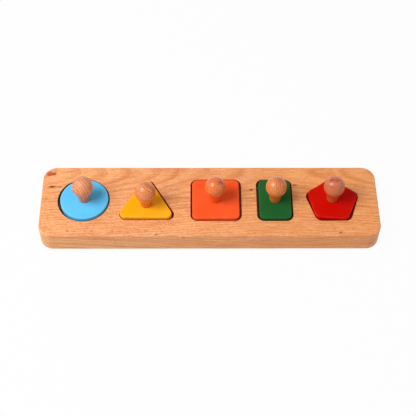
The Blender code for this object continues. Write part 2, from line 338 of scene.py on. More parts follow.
class Sheet:
    """A node tree being drawn: it adds nodes in columns and joins their sockets."""

    COLUMN_WIDTH = 200
    ROW_HEIGHT = 240
    ROWS = 6

    def __init__(self, tree: Tree) -> None:
        """Starts on an empty tree."""
        self.tree = tree
        self.drawn = 0

    @classmethod
    def on(cls, owner: Material | bpy.types.World) -> "Sheet":
        """Starts on the tree of a material or of the world, emptied first."""
        owner.use_nodes = True
        owner.node_tree.nodes.clear()
        return cls(owner.node_tree)

    def feed(self, socket: Socket, value: Feed) -> None:
        """Joins another node's output to an input, or sets the input to a plain value."""
        if isinstance(value, Socket):
            self.tree.links.new(value, socket)
        else:
            socket.default_value = value

    def node(self, kind: str, *values: Feed, **settings: object) -> Node:
        """Adds a node of a kind, sets its properties and feeds its first inputs in order."""
        made = self.tree.nodes.new(kind)
        column, row = divmod(self.drawn, self.ROWS)
        made.location = (self.COLUMN_WIDTH * column, -self.ROW_HEIGHT * row)
        self.drawn += 1
        for name, value in settings.items():
            setattr(made, name, value)
        for socket, value in zip(made.inputs, values):
            self.feed(socket, value)
        return made

    def fill(self, node: Node, **inputs: Feed) -> Node:
        """Feeds a node's inputs by name, with underscores for the spaces of the names."""
        for name, value in inputs.items():
            self.feed(node.inputs[name.replace("_", " ")], value)
        return node

    def math(self, operation: str, first: Feed, second: Feed = 0.0, clamp: bool = False) -> Feed:
        """One step of arithmetic on numbers."""
        made = self.node("ShaderNodeMath", first, second, operation=operation, use_clamp=clamp)
        return made.outputs[0]

    def plus(self, first: Feed, second: Feed, clamp: bool = False) -> Feed:
        """The sum of two numbers, held between 0 and 1 if it is clamped."""
        return self.math("ADD", first, second, clamp)

    def minus(self, first: Feed, second: Feed) -> Feed:
        """The first number less the second."""
        return self.math("SUBTRACT", first, second)

    def times(self, first: Feed, second: Feed) -> Feed:
        """The product of two numbers."""
        return self.math("MULTIPLY", first, second)

    def over(self, first: Feed, second: Feed) -> Feed:
        """The first number divided by the second."""
        return self.math("DIVIDE", first, second)

    def vector(self, operation: str, first: Feed, second: Feed = ORIGIN) -> Feed:
        """One step of arithmetic on vectors."""
        made = self.node("ShaderNodeVectorMath", first, second, operation=operation)
        return made.outputs["Value" if operation == "LENGTH" else "Vector"]

    def scaled(self, vector: Feed, scale: Feed) -> Feed:
        """A vector times a number."""
        made = self.node("ShaderNodeVectorMath", vector, operation="SCALE")
        return self.fill(made, Scale=scale).outputs[0]

    def turned(self, vector: Feed, angles: Place) -> Feed:
        """A vector turned about X, Y and Z."""
        made = self.node("ShaderNodeMapping", vector, vector_type="POINT")
        return self.fill(made, Rotation=angles).outputs[0]

    def apart(self, vector: Feed) -> tuple[Feed, ...]:
        """A vector's three numbers."""
        return tuple(self.node("ShaderNodeSeparateXYZ", vector).outputs)

    def joined(self, x: Feed, y: Feed, z: Feed) -> Feed:
        """A vector of three numbers."""
        return self.node("ShaderNodeCombineXYZ", x, y, z).outputs[0]

    def noise(
        self, vector: Feed, detail: float = 2.0, roughness: float = 0.5, warp: float = 0.0
    ) -> Feed:
        """Smooth noise from 0 to 1, with one lump for each unit of the vector."""
        made = self.node("ShaderNodeTexNoise", noise_dimensions="3D")
        self.fill(made, Vector=vector, Scale=1.0, Detail=detail, Roughness=roughness, Distortion=warp)
        return made.outputs["Fac"]

    def drift(self, vector: Feed) -> Feed:
        """Three smooth noises in one vector, each from -0.5 to 0.5."""
        made = self.node("ShaderNodeTexNoise", noise_dimensions="3D")
        self.fill(made, Vector=vector, Scale=1.0, Detail=1.0)
        return self.vector("SUBTRACT", made.outputs["Color"], (0.5, 0.5, 0.5))

    def step(self, value: Feed, low: Feed, high: Feed) -> Feed:
        """A soft step: 0 below low, 1 above high, and smooth between them."""
        made = self.node("ShaderNodeMapRange", value, low, high, interpolation_type="SMOOTHSTEP")
        return made.outputs[0]

    def span(self, value: Feed, low: Feed, high: Feed) -> Feed:
        """A number from 0 to 1 spread evenly over a range."""
        made = self.node("ShaderNodeMapRange", value)
        return self.fill(made, To_Min=low, To_Max=high).outputs[0]

    def blend(self, share: Feed, first: Feed, second: Feed, way: str = "MIX") -> Feed:
        """A mix of two colours."""
        made = self.node("ShaderNodeMix", share, data_type="RGBA", blend_type=way)
        for socket, value in ((made.inputs[6], first), (made.inputs[7], second)):
            self.feed(socket, (*value, 1.0) if isinstance(value, tuple) else value)
        return made.outputs[2]

    def tinted(self, colour: Feed, *tints: tuple[Feed, float, Colour], way: str = "MIX") -> Feed:
        """A colour under tints, each with its share, its strength and its tone."""
        for share, strength, tone in tints:
            colour = self.blend(self.times(share, strength), colour, tone, way)
        return colour

    def group(self, tree: Tree, **inputs: Feed) -> Node:
        """Places a node group and feeds its inputs."""
        return self.fill(self.node("ShaderNodeGroup", node_tree=tree, label=tree.name), **inputs)

    def bump(self, height: Feed, distance: float, strength: float) -> Feed:
        """A bumped normal from a height, in metres for each unit of height."""
        made = self.node("ShaderNodeBump")
        return self.fill(made, Strength=strength, Distance=distance, Height=height).outputs[0]

    def mark(self, mark: Mark) -> Feed:
        """A number that the surface carries at its points."""
        made = self.node("ShaderNodeAttribute", attribute_type="GEOMETRY", attribute_name=mark.value)
        return made.outputs["Fac"]

    def millimetres(self, centre: Place = ORIGIN) -> Feed:
        """The place on the object in millimetres, counted from a centre given in metres."""
        place = self.node("ShaderNodeTexCoord").outputs["Object"]
        return self.scaled(self.vector("SUBTRACT", place, centre), 1 / MM)


class Patterns:
    """The node groups that the finishes share, each drawn once, when it is first asked for."""

    @staticmethod
    def start(name: str, **usual: Feed) -> tuple[Sheet, bpy.types.bpy_prop_collection]:
        """Starts a group that takes places, as its Vector, and further values.

        Args:
            name: The group's name.
            usual: The usual values of its further inputs, with underscores for the spaces of their
                names. A value of three numbers makes a vector.

        Returns:
            The sheet to draw on, and the inputs to read from.
        """
        tree = bpy.data.node_groups.new(name, "ShaderNodeTree")
        for label, value in {"Vector": ORIGIN, **usual}.items():
            kind = "NodeSocketVector" if isinstance(value, tuple) else "NodeSocketFloat"
            made = tree.interface.new_socket(label.replace("_", " "), in_out="INPUT", socket_type=kind)
            made.default_value = value
        sheet = Sheet(tree)
        return sheet, sheet.node("NodeGroupInput").outputs

    @staticmethod
    def ended(sheet: Sheet, **results: Feed) -> Tree:
        """Ends a group with an output for each result.

        Args:
            sheet: The group's sheet.
            results: What the outputs give, by their names.

        Returns:
            The group.
        """
        for label, value in results.items():
            kind = "NodeSocketVector" if value.type == "VECTOR" else "NodeSocketFloat"
            sheet.tree.interface.new_socket(label, in_out="OUTPUT", socket_type=kind)
        sheet.fill(sheet.node("NodeGroupOutput"), **results)
        return sheet.tree

    @cached_property
    def trunk(self) -> Tree:
        """Places in the tree that the wood came from: along, around and outward from its pith.

        The pith runs along X through 0 and wanders. Outward is the distance from it, and around is
        the angle about it times a usual radius, so that all three are in millimetres.
        """
        sheet, read = self.start("Trunk", Wander=3.0, Wander_Length=90.0, Usual_Radius=45.0)
        stretch = sheet.over(1.0, read["Wander Length"])
        slow = sheet.vector("MULTIPLY", sheet.scaled(read["Vector"], stretch), (1.0, 1.6, 1.6))
        moved = sheet.scaled(sheet.drift(slow), sheet.times(read["Wander"], 2.0))
        along, side, up = sheet.apart(sheet.vector("ADD", read["Vector"], moved))
        outward = sheet.math("SQRT", sheet.plus(sheet.times(side, side), sheet.times(up, up)))
        around = sheet.times(sheet.math("ARCTAN2", side, up), read["Usual Radius"])
        return self.ended(sheet, Vector=sheet.joined(along, around, outward))

    @cached_property
    def rings(self) -> Tree:
        """Growth rings: a soft dark band at the end of each year, some years stronger than others."""
        sheet, read = self.start("Growth Rings", Spacing=2.6, Unevenness=0.5, Softness=0.5)
        slow = sheet.vector("MULTIPLY", read["Vector"], (0.012, 0.03, 0.09))
        uneven = sheet.times(sheet.noise(slow), read["Unevenness"])
        outward = sheet.apart(read["Vector"])[2]
        years = sheet.plus(sheet.over(outward, read["Spacing"]), uneven)
        phase = sheet.math("FRACT", years)
        year = sheet.node("ShaderNodeTexWhiteNoise", noise_dimensions="1D")
        sheet.fill(year, W=sheet.math("FLOOR", years))
        grows = sheet.step(phase, sheet.minus(0.95, read["Softness"]), 0.95)
        ends = sheet.minus(1.0, sheet.step(phase, 0.95, 1.0))
        return self.ended(sheet, Latewood=sheet.times(grows, ends), Year=year.outputs["Value"])

    @cached_property
    def rays(self) -> Tree:
        """Beech rays: thin plates that stand outward from the pith, so short dashes on a flat face."""
        sheet, read = self.start("Ray Flecks", Length=4.0, Width=0.6, Depth=6.0, Start=0.56, Full=0.7)
        size = sheet.joined(read["Length"], read["Width"], read["Depth"])
        lumps = sheet.noise(sheet.vector("DIVIDE", read["Vector"], size), 1.0, 0.4, 0.3)
        return self.ended(sheet, Flecks=sheet.step(lumps, read["Start"], read["Full"]))

    @cached_property
    def fibre(self) -> Tree:
        """Fine fibres along the wood, from 0 to 1."""
        sheet, read = self.start("Fibre", Length=14.0, Width=0.5)
        across = sheet.over(1.0, read["Width"])
        scale = sheet.joined(sheet.over(1.0, read["Length"]), across, across)
        fibre = sheet.noise(sheet.vector("MULTIPLY", read["Vector"], scale), 3.0, 0.6)
        return self.ended(sheet, Fibre=fibre)

    @cached_property
    def stain(self) -> Tree:
        """One natural mark in wood: a ragged oval about a centre, turned about the upright."""
        sheet, read = self.start(
            "Stain", Centre=ORIGIN, Half_Size=(3.0, 1.0, 2.0), Turn=0.0, Ragged=0.8, Grain=2.0
        )
        local = sheet.vector("SUBTRACT", read["Vector"], read["Centre"])
        turn = sheet.node("ShaderNodeVectorRotate", local, rotation_type="Z_AXIS", invert=True)
        sheet.fill(turn, Angle=read["Turn"])
        oval = sheet.vector("LENGTH", sheet.vector("DIVIDE", turn.outputs[0], read["Half Size"]))
        grain = sheet.vector("MULTIPLY", sheet.scaled(local, read["Grain"]), (0.25, 1.0, 1.0))
        ragged = sheet.times(sheet.minus(sheet.noise(grain, 3.0), 0.5), read["Ragged"])
        inside = sheet.step(sheet.plus(oval, sheet.times(ragged, 2.0)), 0.35, 1.0)
        return self.ended(sheet, Stain=sheet.minus(1.0, inside))

    @cached_property
    def handled(self) -> Tree:
        """Wear by hands: blotches of a slightly different gloss, and nicked rounded edges that finishes
        lighten as wear and as painted edge highlight.
        """
        sheet, read = self.start("Handled", Edge=0.0, Blotch=14.0)
        blotch = sheet.noise(sheet.scaled(read["Vector"], sheet.over(1.0, read["Blotch"])), 3.0)
        nick = sheet.noise(sheet.scaled(read["Vector"], 0.35), 3.0, 0.65)
        rubbed_and_highlit = sheet.times(read["Edge"], sheet.step(nick, 0.35, 0.62))
        return self.ended(sheet, Gloss=sheet.minus(blotch, 0.5), Rubbed=rubbed_and_highlit)

    @cached_property
    def film(self) -> Tree:
        """A coat of paint over sanded wood: fine ripples, and the grain showing through faintly."""
        sheet, read = self.start("Paint Film", Ripple=0.8, Mottle=9.0)
        ripple = sheet.noise(sheet.scaled(read["Vector"], sheet.over(1.0, read["Ripple"])), 2.0)
        grain = sheet.noise(sheet.vector("MULTIPLY", read["Vector"], (0.12, 1.6, 1.6)), 2.0)
        mottle = sheet.noise(sheet.scaled(read["Vector"], sheet.over(1.0, read["Mottle"])), 3.0)
        specks = sheet.noise(sheet.scaled(read["Vector"], 1.7), 1.0)
        return self.ended(
            sheet, Height=sheet.plus(ripple, sheet.times(grain, 1.3)),
            Mottle=sheet.minus(mottle, 0.5), Specks=sheet.step(specks, 0.74, 0.8),
        )

    @cached_property
    def lathe(self) -> Tree:
        """Turning marks: faint rings about the upright, a little uneven round each turn."""
        sheet, read = self.start("Lathe Marks", Pitch=0.55)
        up = sheet.apart(read["Vector"])[2]
        uneven = sheet.noise(sheet.scaled(read["Vector"], 0.15))
        turns = sheet.plus(sheet.over(up, read["Pitch"]), sheet.times(uneven, 3.0))
        wave = sheet.math("SINE", sheet.times(turns, math.tau))
        return self.ended(sheet, Height=sheet.times(wave, sheet.step(uneven, 0.3, 0.7)))


class Finish(ABC):
    """How a surface looks, drawn in front of a Principled shader."""

    @abstractmethod
    def draw(self, sheet: Sheet, patterns: Patterns) -> dict[str, Feed]:
        """Draws the nodes that feed the shader.

        Args:
            sheet: The material's sheet.
            patterns: The shared node groups.

        Returns:
            What the shader's inputs get, by name, with underscores for the spaces.
        """

    def material(self, name: str, patterns: Patterns) -> Material:
        """Makes the finish's material.

        Args:
            name: The material's name.
            patterns: The shared node groups.

        Returns:
            The material.
        """
        made = bpy.data.materials.new(name)
        sheet = Sheet.on(made)
        shader = sheet.node("ShaderNodeBsdfPrincipled")
        sheet.node("ShaderNodeOutputMaterial", shader.outputs[0])
        sheet.fill(shader, **self.draw(sheet, patterns))
        return made


@dataclass(frozen=True)
class WoodMark:
    """A natural mark in wood: its place and half size in millimetres, its turn, its strength from
    0 to 1, its colour and how ragged its border is.
    """

    centre: Place
    half_size: Place
    turn: float
    strength: float
    colour: Colour
    ragged: float


def marked(
    sheet: Sheet, patterns: Patterns, spot: Feed, colour: Feed, marks: tuple[WoodMark, ...]
) -> Feed:
    """Lays natural marks over a wood's colour.

    Args:
        sheet: The material's sheet.
        patterns: The shared node groups.
        spot: Places in millimetres.
        colour: The colour so far.
        marks: The marks, the later ones on top.

    Returns:
        The colour with its marks.
    """
    for mark in marks:
        stain = sheet.group(
            patterns.stain, Vector=spot, Centre=mark.centre, Half_Size=mark.half_size,
            Turn=mark.turn, Ragged=mark.ragged,
        ).outputs[0]
        colour = sheet.tinted(colour, (stain, mark.strength, mark.colour))
    return colour


@dataclass(frozen=True)
class BeechFinish(Finish):
    """Planed and oiled beech: rings about a pith far below the plank, ray flecks and fibres.

    The tree was bowed: its pith lies deepest below the plank's top at bow_end in X and rises from
    there on both sides, so the rings' arches on the top point to that place from left and right.

    The colour turns from light at light_end to a warmer, deeper tone at golden_end in X, a border
    that drifts. This is partly the wood's own tone and partly painted falloff of the lamp's light,
    brighter and paler at the left end. Its flecks are faintest on the sawn sides. Lumps of noise are
    counted to the millimetre.
    """

    # The light and golden tones, blended along X, are partly the wood's tone and partly painted falloff of
    # the lamp's light from left to right.
    light: Colour = shade(251, 185, 124)
    golden_and_falloff: Colour = shade(249, 170, 100)
    rosy: Colour = shade(243, 168, 115)
    latewood: Colour = shade(214, 124, 68)
    fleck: Colour = shade(194, 102, 56)
    pale: Colour = shade(255, 194, 137)
    # A painted shade for the pockets' walls and floors.
    pocket_shade: Colour = shade(150, 52, 28)
    # A lighter tone for nicked rounded edges: wear and painted edge highlight.
    rubbed_and_highlit: Colour = shade(255, 196, 148)
    pith: Place = (0.0, 40.0, -44.7)
    bow_end: float = 78.0
    bow_slope: float = 0.09
    bow_bend: float = 30.0
    ring_spacing: float = 2.45
    usual_radius: float = 80.0
    layer_lumps: Place = (0.010, 0.03, 0.8)
    streak_lumps: Place = (0.040, 0.6, 0.6)
    mottle_lumps: Place = (0.014, 0.045, 0.045)
    light_end: float = -60.0
    golden_end: float = 190.0
    golden_drift: float = 120.0
    sawn_height: float = 20.0
    planed_height: float = 24.5
    roughness: float = 0.46
    gloss: float = 0.3
    marks: tuple[WoodMark, ...] = (
        WoodMark((-172.8, 36.8, 25.0), (8.0, 3.4, 3.0), -0.3, 0.85, shade(184, 62, 4), 2.0),
        WoodMark((-173.6, 34.6, 25.0), (3.6, 1.7, 3.0), 0.1, 0.8, shade(170, 58, 4), 1.2),
        WoodMark((-168.6, 35.9, 25.0), (3.4, 1.9, 3.0), 0.3, 0.9, shade(134, 52, 4), 1.0),
        WoodMark((-169.2, 18.9, 25.0), (6.0, 1.7, 2.0), 0.03, 1.0, shade(120, 46, 2), 0.7),
        WoodMark((-161.6, 18.9, 25.0), (3.6, 1.5, 2.0), 0.0, 0.7, shade(160, 72, 12), 0.7),
        WoodMark((-152.0, 39.0, 25.0), (9.0, 1.6, 2.0), 0.1, 0.45, shade(176, 90, 50), 1.1),
        WoodMark((44.9, 14.6, 25.0), (6.5, 2.2, 2.0), 0.0, 0.5, shade(206, 116, 54), 0.8),
        WoodMark((44.9, 14.6, 25.0), (2.7, 1.4, 2.0), 0.0, 1.0, shade(92, 38, 22), 0.5),
        WoodMark((91.6, 20.8, 25.0), (5.6, 1.5, 2.0), 0.05, 0.9, shade(160, 74, 34), 0.8),
        WoodMark((-149.1, -38.3, 25.0), (1.8, 1.1, 1.5), 0.0, 0.8, shade(150, 70, 38), 0.5),
        WoodMark((-123.8, -38.3, 25.0), (1.3, 1.1, 1.5), 0.0, 0.65, shade(160, 76, 40), 0.5),
        WoodMark((-56.3, -43.4, 25.0), (2.1, 1.2, 1.5), 0.0, 0.85, shade(140, 66, 40), 0.5),
        WoodMark((136.8, -41.0, 25.0), (3.0, 2.2, 2.0), 0.0, 0.4, shade(206, 112, 46), 0.5),
        WoodMark((136.8, -41.0, 25.0), (1.5, 1.4, 1.5), 0.0, 1.0, shade(150, 62, 24), 0.4),
        WoodMark((-27.7, -45.0, 22.1), (2.2, 2.0, 0.9), 0.0, 1.0, shade(120, 48, 30), 0.5),
        WoodMark((-5.0, 3.8, 25.0), (200.0, 1.5, 3.0), 0.0, 0.42, shade(196, 104, 52), 1.1),
        WoodMark((46.0, 0.5, 25.0), (14.0, 0.9, 3.0), 0.04, 0.4, shade(190, 96, 50), 0.9),
    )

    def from_pith(self, sheet: Sheet, spot: Feed) -> Feed:
        """Places measured from the bowed pith.

        The pith rises by slope * (sqrt(bend^2 + d^2) - bend) at a distance d from its deepest place.

        Args:
            sheet: The material's sheet.
            spot: Places in millimetres.

        Returns:
            The places along, beside and above the pith.
        """
        along, side, up = sheet.apart(sheet.vector("SUBTRACT", spot, self.pith))
        away = sheet.minus(along, self.bow_end)
        reach = sheet.math("SQRT", sheet.plus(sheet.times(away, away), self.bow_bend**2))
        rise = sheet.times(sheet.minus(reach, self.bow_bend), self.bow_slope)
        return sheet.joined(along, side, sheet.minus(up, rise))

    def draw(self, sheet: Sheet, patterns: Patterns) -> dict[str, Feed]:
        """Draws the planed wood."""
        spot = sheet.millimetres()
        straight = self.from_pith(sheet, spot)
        tree, wavy = (
            sheet.group(
                patterns.trunk, Vector=straight, Wander=wander, Wander_Length=length,
                Usual_Radius=self.usual_radius,
            ).outputs[0]
            for wander, length in ((2.0, 70.0), (2.8, 26.0))
        )
        rings = sheet.group(patterns.rings, Vector=tree, Spacing=self.ring_spacing, Softness=0.6).outputs
        dashes = sheet.group(
            patterns.rays, Vector=wavy, Length=3.6, Width=0.7, Depth=6.0, Start=0.55, Full=0.70
        ).outputs[0]
        fine = sheet.group(
            patterns.rays, Vector=wavy, Length=2.4, Width=0.4, Depth=4.0, Start=0.52, Full=0.66
        ).outputs[0]
        layers = sheet.noise(sheet.vector("MULTIPLY", tree, self.layer_lumps), 1.0, 0.5)
        streaks = sheet.noise(sheet.vector("MULTIPLY", wavy, self.streak_lumps), 2.0, 0.6)
        mottle = sheet.noise(sheet.vector("MULTIPLY", spot, self.mottle_lumps), 2.0)
        fibre = sheet.group(patterns.fibre, Vector=wavy).outputs[0]

        right, _, high = sheet.apart(spot)
        along = sheet.plus(right, sheet.times(mottle, self.golden_drift))
        planed = sheet.span(sheet.step(high, self.sawn_height, self.planed_height), 0.6, 1.0)
        light = sheet.span(sheet.step(along, self.golden_end, self.light_end), 0.6, 1.0)
        clear = sheet.times(planed, light)
        late = sheet.times(rings["Latewood"], sheet.span(rings["Year"], 0.5, 1.0))
        colour = sheet.tinted(
            # Paler at the left end and deeper to the right: partly wood tone, partly painted light falloff.
            sheet.blend(sheet.step(along, self.light_end, self.golden_end), self.light, self.golden_and_falloff),
            (sheet.step(mottle, 0.4, 0.7), 0.8, self.rosy),
            (late, 0.75, self.latewood),
            (sheet.step(layers, 0.45, 0.7), 0.45, self.latewood),
            (sheet.step(streaks, 0.5, 0.72), 0.45, self.latewood),
            (sheet.step(streaks, 0.5, 0.28), 0.55, self.pale),
            (sheet.times(sheet.step(fibre, 0.35, 0.75), clear), 0.22, self.fleck),
            (sheet.times(dashes, clear), 0.55, self.fleck),
            (sheet.times(fine, clear), 0.45, self.fleck),
        )
        colour = marked(sheet, patterns, spot, colour, self.marks)
        cut, edge = sheet.mark(Mark.CUT), sheet.mark(Mark.EDGE)
        worn = sheet.group(patterns.handled, Vector=spot, Edge=edge, Blotch=22.0).outputs
        # Darker in the pockets by the cut mark: painted shade, strongest on the walls.
        # Lighter along nicked rounded edges, as wear and painted edge highlight.
        colour = sheet.tinted(colour, (worn["Rubbed"], 0.18, self.rubbed_and_highlit), (cut, 0.82, self.pocket_shade))
        rough = sheet.plus(sheet.times(worn["Gloss"], 0.16), self.roughness)
        rough = sheet.plus(rough, sheet.times(dashes, 0.08))
        pores = sheet.minus(sheet.times(fibre, 0.5), sheet.times(dashes, 0.35))
        return dict(
            Base_Color=colour, Specular_IOR_Level=self.gloss,
            Roughness=sheet.plus(rough, sheet.times(cut, 0.25), clamp=True),
            Normal=sheet.bump(pores, 0.05 * MM, 0.6),
        )


@dataclass(frozen=True)
class KnobWood:
    """The wood of one knob.

    along is the way of its fibres and outward the way from the pith, which lies pith_distance
    millimetres from the ball's middle. Then come the rings' spacing in millimetres, how strongly
    rings and rays show, the colour of the lacquered wood, its roughness and its natural patches,
    placed from the ball's middle.
    """

    along: Place
    outward: Place
    pith_distance: float
    spacing: float
    rings: float
    rays: float
    colour: Colour
    roughness: float
    patches: tuple[WoodMark, ...]

    def turn(self) -> Place:
        """Angles that turn the knob's directions into the tree's: along, around and outward."""
        along = Vector(self.along).normalized()
        side = Vector(self.outward).cross(along).normalized()
        return tuple(Matrix((along, side, along.cross(side))).to_euler("XYZ"))


@dataclass(frozen=True)
class KnobFinish(Finish):
    """Turned beech under clear lacquer, deepened towards the waist by painted shade and reflected colour.

    The tones are shares of the wood's own colour. The waist's painted shade grows from waist_high
    down to waist_low, in millimetres over the ball's middle.
    """

    centre: Place
    wood: KnobWood
    latewood: Colour = (0.48, 0.33, 0.26)
    fleck: Colour = (0.55, 0.40, 0.32)
    deep: Colour = (0.82, 0.68, 0.56)
    # A painted shade and reflected tile colour for the waist and stem, under the ball.
    waist: Colour = (0.93, 0.72, 0.48)
    waist_low: float = -16.0
    waist_high: float = 1.0
    patch_lumps: Place = (0.06, 0.18, 0.18)
    gloss: float = 0.5

    def draw(self, sheet: Sheet, patterns: Patterns) -> dict[str, Feed]:
        """Draws the turned wood."""
        spot = sheet.millimetres(self.centre)
        wood = self.wood
        sawn = sheet.vector("ADD", sheet.turned(spot, wood.turn()), (0.0, 0.0, wood.pith_distance))
        tree = sheet.group(
            patterns.trunk, Vector=sawn, Wander=1.0, Wander_Length=16.0, Usual_Radius=wood.pith_distance
        ).outputs[0]
        rings = sheet.group(
            patterns.rings, Vector=tree, Spacing=wood.spacing, Unevenness=0.9, Softness=0.36
        ).outputs
        dashes = sheet.group(
            patterns.rays, Vector=tree, Length=3.0, Width=0.45, Depth=5.0, Start=0.5, Full=0.68
        ).outputs[0]
        fibre = sheet.group(patterns.fibre, Vector=tree, Length=9.0, Width=0.45).outputs[0]
        patch = sheet.noise(sheet.vector("MULTIPLY", tree, self.patch_lumps), 2.0)
        late = sheet.times(rings["Latewood"], sheet.span(rings["Year"], 0.7, 1.0))
        colour = sheet.tinted(
            wood.colour,
            # Deeper and more saturated towards the waist: painted shade and reflected colour under the ball.
            (sheet.step(sheet.apart(spot)[2], self.waist_high, self.waist_low), 1.0, self.waist),
            (sheet.step(patch, 0.35, 0.7), 0.6, self.deep),
            (sheet.step(fibre, 0.35, 0.7), 0.55, self.deep),
            (dashes, wood.rays * 0.7, self.fleck),
            (late, wood.rings * 0.9, self.latewood),
            way="MULTIPLY",
        )
        worn = sheet.group(patterns.handled, Vector=spot, Blotch=5.0).outputs
        lathe = sheet.group(patterns.lathe, Vector=spot).outputs[0]
        raised = sheet.plus(sheet.times(lathe, 0.12), sheet.times(fibre, 0.4))
        return dict(
            Base_Color=marked(sheet, patterns, spot, colour, wood.patches),
            Roughness=sheet.plus(sheet.times(worn["Gloss"], 0.12), wood.roughness),
            Specular_IOR_Level=self.gloss, Normal=sheet.bump(raised, 0.04 * MM, 0.6),
        )


@dataclass(frozen=True)
class PaintFinish(Finish):
    """Opaque satin paint: a slightly uneven coat, paler in specks and on nicked edges: wear and painted
    sheen.
    """

    slot: Slot
    colour: Colour
    pale: Colour
    # The paler tone for specks and nicked rounded edges: wear and painted sheen.
    thin: Colour
    gloss: float = 0.05
    roughness: float = 0.42

    def draw(self, sheet: Sheet, patterns: Patterns) -> dict[str, Feed]:
        """Draws the coat of paint."""
        spot = sheet.millimetres()
        film = sheet.group(patterns.film, Vector=spot).outputs
        edge = sheet.mark(Mark.EDGE)
        worn = sheet.group(patterns.handled, Vector=spot, Edge=edge, Blotch=11.0).outputs
        coat = sheet.noise(sheet.scaled(spot, 0.04), 2.0)
        colour = sheet.blend(sheet.step(coat, 0.35, 0.65), self.colour, self.pale)
        light = sheet.span(sheet.plus(film["Mottle"], 0.5), 0.95, 1.05)
        # Paler on nicked rounded edges, as wear and painted sheen, and in small specks.
        thin = sheet.plus(sheet.times(worn["Rubbed"], 0.35), sheet.times(film["Specks"], 0.12))
        return dict(
            Base_Color=sheet.blend(thin, sheet.scaled(colour, light), self.thin),
            Roughness=sheet.plus(sheet.times(worn["Gloss"], 0.2), self.roughness),
            Specular_IOR_Level=self.gloss, Normal=sheet.bump(film["Height"], 0.02 * MM, 0.7),
        )


@dataclass(frozen=True)
class ZincFinish(Finish):
    """Bright zinc plate on steel: small crystals that differ a little in gloss and tone."""

    bright: Colour = (0.74, 0.75, 0.77)
    dull: Colour = (0.60, 0.61, 0.62)

    def draw(self, sheet: Sheet, patterns: Patterns) -> dict[str, Feed]:
        """Draws the plating."""
        worn = sheet.group(patterns.handled, Vector=sheet.millimetres(), Blotch=1.2).outputs
        tone = sheet.plus(worn["Gloss"], 0.5, clamp=True)
        return dict(
            Base_Color=sheet.blend(tone, self.bright, self.dull), Metallic=1.0,
            Roughness=sheet.span(tone, 0.2, 0.46), Normal=sheet.bump(tone, 0.01 * MM, 0.5),
        )


def regular_corners(count: int, side: float) -> Array:
    """Corners of a regular polygon with one corner at the back, about its middle.

    Corner i stands at a quarter turn plus i / count turns, on a circle of radius
    side / (2 sin(half a turn / count)).

    Args:
        count: How many corners.
        side: The length of a side.

    Returns:
        The corners as (count, 2), anticlockwise.
    """
    angles = math.pi / 2 + whole_turn(count)
    return unit(angles) * side / (2 * math.sin(math.pi / count))


def oblong_corners(width: float, depth: float) -> Array:
    """Corners of a rectangle about its middle, anticlockwise."""
    return np.array([(1, -1), (1, 1), (-1, 1), (-1, -1)]) * (width / 2, depth / 2)


def rounded(corners: Array, radius: float, knob_shift: Pair = (0.0, 0.0)) -> Outline:
    """A plan with its corners rounded, measured from the knob's axis.

    Each arc's centre lies on the corner's bisector, radius / sin(half the corner's angle) inward.

    Args:
        corners: The sharp corners about the tile's middle, anticlockwise.
        radius: The arcs' radius.
        knob_shift: How far the knob stands from the tile's middle.

    Returns:
        The outline.
    """
    before = np.roll(corners, 1, axis=0) - corners
    after = np.roll(corners, -1, axis=0) - corners
    before /= np.linalg.norm(before, axis=1)[:, None]
    after /= np.linalg.norm(after, axis=1)[:, None]
    bisector = before + after
    bisector /= np.linalg.norm(bisector, axis=1)[:, None]
    half = np.arccos(np.clip((before * after).sum(1), -1, 1)) / 2
    return Outline(corners + bisector * (radius / np.sin(half))[:, None] - knob_shift, radius)


@dataclass
class Knob:
    """A ball knob on a waisted stem, turned in one piece.

    The crown is a half ellipse over the ball's widest place, the ball runs on below it, and an arc
    that leaves the foot upright meets the ball without a step. A bore from below takes the screw.
    """

    ball_diameter: float = 0.022
    ball_height: float = 0.0208
    crown_height: float = 0.012
    foot_diameter: float = 0.012
    foot_round: float = 0.0003
    foot_ring: float = 0.7
    bore_radius: float = 0.0023
    bore_depth: float = 0.0184
    bore_point: float = 0.004
    columns: int = 96

    def profile(self) -> Array:
        """The turned line of (radius, height) from the top of the crown to the end of the bore.

        The neck's radius is (h^2 + foot^2 - ball^2) / (2 (ball - foot)) for a ball whose widest
        place is at height h.

        Returns:
            The line's points as (rows, 2).
        """
        ball, foot, high = self.ball_diameter / 2, self.foot_diameter / 2, self.ball_height
        neck = (high**2 + foot**2 - ball**2) / (2 * (ball - foot))
        slope = math.atan2(high, foot + neck)
        crown = quarter(20)[::-1]
        under = eased(12)[1:] * slope
        waist = (1 - eased(16)[1:-1]) * slope
        turned = quarter(4)
        rim = self.foot_round
        return np.concatenate([
            np.stack([ball * np.cos(crown), high + self.crown_height * np.sin(crown)], 1),
            np.stack([ball * np.cos(under), high - ball * np.sin(under)], 1),
            np.stack([foot + neck - neck * np.cos(waist), neck * np.sin(waist)], 1),
            np.stack([foot - rim + rim * np.cos(turned), rim - rim * np.sin(turned)], 1),
            [(foot * self.foot_ring, 0.0), (self.bore_radius, 0.0), (self.bore_radius, self.bore_depth / 2)],
            [(self.bore_radius, self.bore_depth - self.bore_point), (0.0, self.bore_depth)],
        ])

    def build(self, name: str, place: Array) -> Object:
        """Turns the profile about the upright at a place.

        Args:
            name: The object's name.
            place: The middle of the foot.

        Returns:
            The knob.
        """
        line = self.profile()
        # The crown's top lies right on the axis, so that all its points weld into one.
        line[0, 0] = 0.0
        skin = Skin()
        skin.add(revolved(line, unit(whole_turn(self.columns))) + place)
        return skin.sewn(name)


